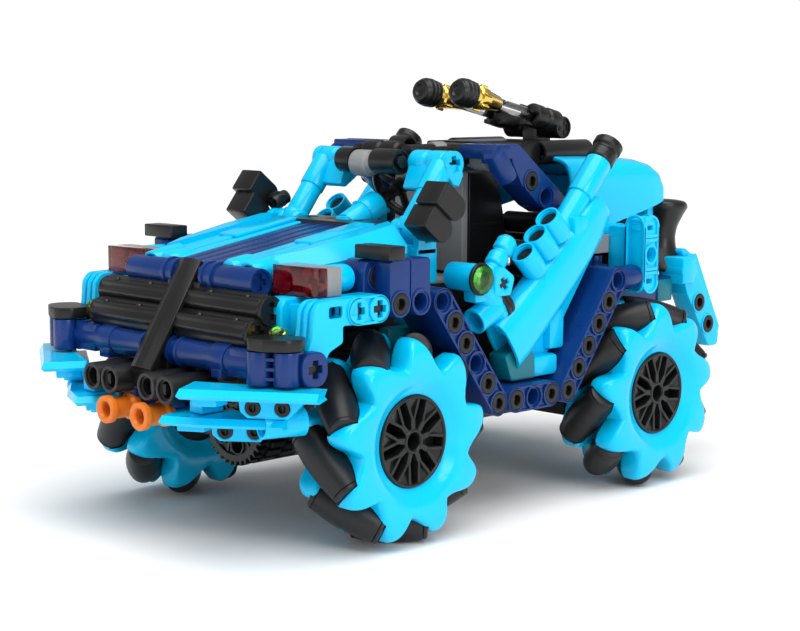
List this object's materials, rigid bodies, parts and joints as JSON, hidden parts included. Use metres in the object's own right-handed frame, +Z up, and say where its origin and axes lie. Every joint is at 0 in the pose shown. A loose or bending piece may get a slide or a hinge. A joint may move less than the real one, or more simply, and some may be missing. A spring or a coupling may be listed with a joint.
{
  "type": "mecanum wheel robot",
  "caption": "Small four-wheeled building-set robot with mecanum wheels, open beam side frames, an open cabin and a tilting roof launcher.",
  "frame": {"origin": "on the ground, under the middle of the four wheels", "axes": "+X to the right side of the robot, +Y to its rear, +Z up"},
  "size_m": [0.124, 0.24, 0.1302],
  "materials": {
    "azure_plastic": "gloss",
    "navy_plastic": "gloss",
    "black_plastic": "satin",
    "roller_rubber": "satin",
    "red_lamp": "clear red"
  },
  "bodies": {
    "chassis": {"chassis": "black_plastic", "front_bumper": "navy_plastic", "grille": "black_plastic", "hood": "azure_plastic", "cabin_frame": "azure_plastic", "seat": "black_plastic", "rear_body": "azure_plastic", "side_frame_right": "navy_plastic", "side_frame_left": "navy_plastic", "blades_right": "azure_plastic", "blades_left": "azure_plastic", "lamp_right": "red_lamp", "lamp_left": "red_lamp", "cannon_right": "azure_plastic", "cannon_left": "azure_plastic"},
    "launcher": {"launcher": "black_plastic"},
    "front_gear": {"front_gear": "black_plastic"},
    "steering_wheel": {"steering_wheel": "black_plastic"},
    "mirror_right": {"mirror_right": "black_plastic"},
    "mirror_left": {"mirror_left": "black_plastic"},
    "wheel_front_right": {"wheel_front_right": "azure_plastic"},
    "wheel_front_left": {"wheel_front_left": "azure_plastic"},
    "wheel_rear_right": {"wheel_rear_right": "azure_plastic"},
    "wheel_rear_left": {"wheel_rear_left": "azure_plastic"},
    "roller_front_right_1": {"roller_front_right_1": "roller_rubber"},
    "roller_front_right_2": {"roller_front_right_2": "roller_rubber"},
    "roller_front_right_3": {"roller_front_right_3": "roller_rubber"},
    "roller_front_right_4": {"roller_front_right_4": "roller_rubber"},
    "roller_front_right_5": {"roller_front_right_5": "roller_rubber"},
    "roller_front_right_6": {"roller_front_right_6": "roller_rubber"},
    "roller_front_right_7": {"roller_front_right_7": "roller_rubber"},
    "roller_front_right_8": {"roller_front_right_8": "roller_rubber"},
    "roller_front_right_9": {"roller_front_right_9": "roller_rubber"},
    "roller_front_left_1": {"roller_front_left_1": "roller_rubber"},
    "roller_front_left_2": {"roller_front_left_2": "roller_rubber"},
    "roller_front_left_3": {"roller_front_left_3": "roller_rubber"},
    "roller_front_left_4": {"roller_front_left_4": "roller_rubber"},
    "roller_front_left_5": {"roller_front_left_5": "roller_rubber"},
    "roller_front_left_6": {"roller_front_left_6": "roller_rubber"},
    "roller_front_left_7": {"roller_front_left_7": "roller_rubber"},
    "roller_front_left_8": {"roller_front_left_8": "roller_rubber"},
    "roller_front_left_9": {"roller_front_left_9": "roller_rubber"},
    "roller_rear_right_1": {"roller_rear_right_1": "roller_rubber"},
    "roller_rear_right_2": {"roller_rear_right_2": "roller_rubber"},
    "roller_rear_right_3": {"roller_rear_right_3": "roller_rubber"},
    "roller_rear_right_4": {"roller_rear_right_4": "roller_rubber"},
    "roller_rear_right_5": {"roller_rear_right_5": "roller_rubber"},
    "roller_rear_right_6": {"roller_rear_right_6": "roller_rubber"},
    "roller_rear_right_7": {"roller_rear_right_7": "roller_rubber"},
    "roller_rear_right_8": {"roller_rear_right_8": "roller_rubber"},
    "roller_rear_right_9": {"roller_rear_right_9": "roller_rubber"},
    "roller_rear_left_1": {"roller_rear_left_1": "roller_rubber"},
    "roller_rear_left_2": {"roller_rear_left_2": "roller_rubber"},
    "roller_rear_left_3": {"roller_rear_left_3": "roller_rubber"},
    "roller_rear_left_4": {"roller_rear_left_4": "roller_rubber"},
    "roller_rear_left_5": {"roller_rear_left_5": "roller_rubber"},
    "roller_rear_left_6": {"roller_rear_left_6": "roller_rubber"},
    "roller_rear_left_7": {"roller_rear_left_7": "roller_rubber"},
    "roller_rear_left_8": {"roller_rear_left_8": "roller_rubber"},
    "roller_rear_left_9": {"roller_rear_left_9": "roller_rubber"}
  },
  "joints": [
    {"name": "blaster_tilt", "type": "hinge", "parent": "chassis", "child": "launcher", "pos_m": [0, 0.0595, 0.1136], "axis": [1, 0, 0], "range_deg": [-40, 5]},
    {"name": "drive_front_right", "type": "hinge", "parent": "chassis", "child": "wheel_front_right", "pos_m": [0.046, -0.056, 0.03], "axis": [1, 0, 0], "continuous": true},
    {"name": "drive_front_left", "type": "hinge", "parent": "chassis", "child": "wheel_front_left", "pos_m": [-0.046, -0.056, 0.03], "axis": [1, 0, 0], "continuous": true},
    {"name": "drive_rear_right", "type": "hinge", "parent": "chassis", "child": "wheel_rear_right", "pos_m": [0.046, 0.056, 0.03], "axis": [1, 0, 0], "continuous": true},
    {"name": "drive_rear_left", "type": "hinge", "parent": "chassis", "child": "wheel_rear_left", "pos_m": [-0.046, 0.056, 0.03], "axis": [1, 0, 0], "continuous": true},
    {"name": "gear_spin", "type": "hinge", "parent": "chassis", "child": "front_gear", "pos_m": [0, -0.06, 0.031], "axis": [0, 1, 0], "continuous": true},
    {"name": "mirror_turn_right", "type": "hinge", "parent": "chassis", "child": "mirror_right", "pos_m": [0.031, -0.027, 0.091], "axis": [1, 0, 0], "range_deg": [-40, 40]},
    {"name": "mirror_turn_left", "type": "hinge", "parent": "chassis", "child": "mirror_left", "pos_m": [-0.031, -0.027, 0.091], "axis": [1, 0, 0], "range_deg": [-40, 40]},
    {"name": "helm_turn", "type": "hinge", "parent": "chassis", "child": "steering_wheel", "pos_m": [0, -0.006, 0.096], "axis": [0, 0.9063, 0.4226], "continuous": true},
    {"name": "roller_front_right_1_spin", "type": "hinge", "parent": "wheel_front_right", "child": "roller_front_right_1", "pos_m": [0.046, -0.04722, 0.05287], "axis": [0.7071, -0.6601, 0.2534], "continuous": true},
    {"name": "roller_front_right_2_spin", "type": "hinge", "parent": "wheel_front_right", "child": "roller_front_right_2", "pos_m": [0.046, -0.06398, 0.05316], "axis": [0.7071, -0.6686, -0.2302], "continuous": true},
    {"name": "roller_front_right_3_spin", "type": "hinge", "parent": "wheel_front_right", "child": "roller_front_right_3", "pos_m": [0.046, -0.077, 0.04262], "axis": [0.7071, -0.3642, -0.6061], "continuous": true},
    {"name": "roller_front_right_4_spin", "type": "hinge", "parent": "wheel_front_right", "child": "roller_front_right_4", "pos_m": [0.046, -0.0802, 0.02617], "axis": [0.7071, 0.1106, -0.6984], "continuous": true},
    {"name": "roller_front_right_5_spin", "type": "hinge", "parent": "wheel_front_right", "child": "roller_front_right_5", "pos_m": [0.046, -0.07207, 0.01151], "axis": [0.7071, 0.5337, -0.4639], "continuous": true},
    {"name": "roller_front_right_6_spin", "type": "hinge", "parent": "wheel_front_right", "child": "roller_front_right_6", "pos_m": [0.046, -0.05643, 0.0055], "axis": [0.7071, 0.707, -0.0123], "continuous": true},
    {"name": "roller_front_right_7_spin", "type": "hinge", "parent": "wheel_front_right", "child": "roller_front_right_7", "pos_m": [0.046, -0.04058, 0.01096], "axis": [0.7071, 0.5495, 0.445], "continuous": true},
    {"name": "roller_front_right_8_spin", "type": "hinge", "parent": "wheel_front_right", "child": "roller_front_right_8", "pos_m": [0.046, -0.03195, 0.02533], "axis": [0.7071, 0.1349, 0.6941], "continuous": true},
    {"name": "roller_front_right_9_spin", "type": "hinge", "parent": "wheel_front_right", "child": "roller_front_right_9", "pos_m": [0.046, -0.03457, 0.04188], "axis": [0.7071, -0.3428, 0.6184], "continuous": true},
    {"name": "roller_front_left_1_spin", "type": "hinge", "parent": "wheel_front_left", "child": "roller_front_left_1", "pos_m": [-0.046, -0.04722, 0.05287], "axis": [-0.7071, -0.6601, 0.2534], "continuous": true},
    {"name": "roller_front_left_2_spin", "type": "hinge", "parent": "wheel_front_left", "child": "roller_front_left_2", "pos_m": [-0.046, -0.03457, 0.04188], "axis": [-0.7071, -0.3428, 0.6184], "continuous": true},
    {"name": "roller_front_left_3_spin", "type": "hinge", "parent": "wheel_front_left", "child": "roller_front_left_3", "pos_m": [-0.046, -0.03195, 0.02533], "axis": [-0.7071, 0.1349, 0.6941], "continuous": true},
    {"name": "roller_front_left_4_spin", "type": "hinge", "parent": "wheel_front_left", "child": "roller_front_left_4", "pos_m": [-0.046, -0.04058, 0.01096], "axis": [-0.7071, 0.5495, 0.445], "continuous": true},
    {"name": "roller_front_left_5_spin", "type": "hinge", "parent": "wheel_front_left", "child": "roller_front_left_5", "pos_m": [-0.046, -0.05643, 0.0055], "axis": [-0.7071, 0.707, -0.0123], "continuous": true},
    {"name": "roller_front_left_6_spin", "type": "hinge", "parent": "wheel_front_left", "child": "roller_front_left_6", "pos_m": [-0.046, -0.07207, 0.01151], "axis": [-0.7071, 0.5337, -0.4639], "continuous": true},
    {"name": "roller_front_left_7_spin", "type": "hinge", "parent": "wheel_front_left", "child": "roller_front_left_7", "pos_m": [-0.046, -0.0802, 0.02617], "axis": [-0.7071, 0.1106, -0.6984], "continuous": true},
    {"name": "roller_front_left_8_spin", "type": "hinge", "parent": "wheel_front_left", "child": "roller_front_left_8", "pos_m": [-0.046, -0.077, 0.04262], "axis": [-0.7071, -0.3642, -0.6061], "continuous": true},
    {"name": "roller_front_left_9_spin", "type": "hinge", "parent": "wheel_front_left", "child": "roller_front_left_9", "pos_m": [-0.046, -0.06398, 0.05316], "axis": [-0.7071, -0.6686, -0.2302], "continuous": true},
    {"name": "roller_rear_right_1_spin", "type": "hinge", "parent": "wheel_rear_right", "child": "roller_rear_right_1", "pos_m": [0.046, 0.04722, 0.05287], "axis": [0.7071, 0.6601, 0.2534], "continuous": true},
    {"name": "roller_rear_right_2_spin", "type": "hinge", "parent": "wheel_rear_right", "child": "roller_rear_right_2", "pos_m": [0.046, 0.03457, 0.04188], "axis": [0.7071, 0.3428, 0.6184], "continuous": true},
    {"name": "roller_rear_right_3_spin", "type": "hinge", "parent": "wheel_rear_right", "child": "roller_rear_right_3", "pos_m": [0.046, 0.03195, 0.02533], "axis": [0.7071, -0.1349, 0.6941], "continuous": true},
    {"name": "roller_rear_right_4_spin", "type": "hinge", "parent": "wheel_rear_right", "child": "roller_rear_right_4", "pos_m": [0.046, 0.04058, 0.01096], "axis": [0.7071, -0.5495, 0.445], "continuous": true},
    {"name": "roller_rear_right_5_spin", "type": "hinge", "parent": "wheel_rear_right", "child": "roller_rear_right_5", "pos_m": [0.046, 0.05643, 0.0055], "axis": [0.7071, -0.707, -0.0123], "continuous": true},
    {"name": "roller_rear_right_6_spin", "type": "hinge", "parent": "wheel_rear_right", "child": "roller_rear_right_6", "pos_m": [0.046, 0.07207, 0.01151], "axis": [0.7071, -0.5337, -0.4639], "continuous": true},
    {"name": "roller_rear_right_7_spin", "type": "hinge", "parent": "wheel_rear_right", "child": "roller_rear_right_7", "pos_m": [0.046, 0.0802, 0.02617], "axis": [0.7071, -0.1106, -0.6984], "continuous": true},
    {"name": "roller_rear_right_8_spin", "type": "hinge", "parent": "wheel_rear_right", "child": "roller_rear_right_8", "pos_m": [0.046, 0.077, 0.04262], "axis": [0.7071, 0.3642, -0.6061], "continuous": true},
    {"name": "roller_rear_right_9_spin", "type": "hinge", "parent": "wheel_rear_right", "child": "roller_rear_right_9", "pos_m": [0.046, 0.06398, 0.05316], "axis": [0.7071, 0.6686, -0.2302], "continuous": true},
    {"name": "roller_rear_left_1_spin", "type": "hinge", "parent": "wheel_rear_left", "child": "roller_rear_left_1", "pos_m": [-0.046, 0.04722, 0.05287], "axis": [-0.7071, 0.6601, 0.2534], "continuous": true},
    {"name": "roller_rear_left_2_spin", "type": "hinge", "parent": "wheel_rear_left", "child": "roller_rear_left_2", "pos_m": [-0.046, 0.06398, 0.05316], "axis": [-0.7071, 0.6686, -0.2302], "continuous": true},
    {"name": "roller_rear_left_3_spin", "type": "hinge", "parent": "wheel_rear_left", "child": "roller_rear_left_3", "pos_m": [-0.046, 0.077, 0.04262], "axis": [-0.7071, 0.3642, -0.6061], "continuous": true},
    {"name": "roller_rear_left_4_spin", "type": "hinge", "parent": "wheel_rear_left", "child": "roller_rear_left_4", "pos_m": [-0.046, 0.0802, 0.02617], "axis": [-0.7071, -0.1106, -0.6984], "continuous": true},
    {"name": "roller_rear_left_5_spin", "type": "hinge", "parent": "wheel_rear_left", "child": "roller_rear_left_5", "pos_m": [-0.046, 0.07207, 0.01151], "axis": [-0.7071, -0.5337, -0.4639], "continuous": true},
    {"name": "roller_rear_left_6_spin", "type": "hinge", "parent": "wheel_rear_left", "child": "roller_rear_left_6", "pos_m": [-0.046, 0.05643, 0.0055], "axis": [-0.7071, -0.707, -0.0123], "continuous": true},
    {"name": "roller_rear_left_7_spin", "type": "hinge", "parent": "wheel_rear_left", "child": "roller_rear_left_7", "pos_m": [-0.046, 0.04058, 0.01096], "axis": [-0.7071, -0.5495, 0.445], "continuous": true},
    {"name": "roller_rear_left_8_spin", "type": "hinge", "parent": "wheel_rear_left", "child": "roller_rear_left_8", "pos_m": [-0.046, 0.03195, 0.02533], "axis": [-0.7071, -0.1349, 0.6941], "continuous": true},
    {"name": "roller_rear_left_9_spin", "type": "hinge", "parent": "wheel_rear_left", "child": "roller_rear_left_9", "pos_m": [-0.046, 0.03457, 0.04188], "axis": [-0.7071, 0.3428, 0.6184], "continuous": true}
  ]
}
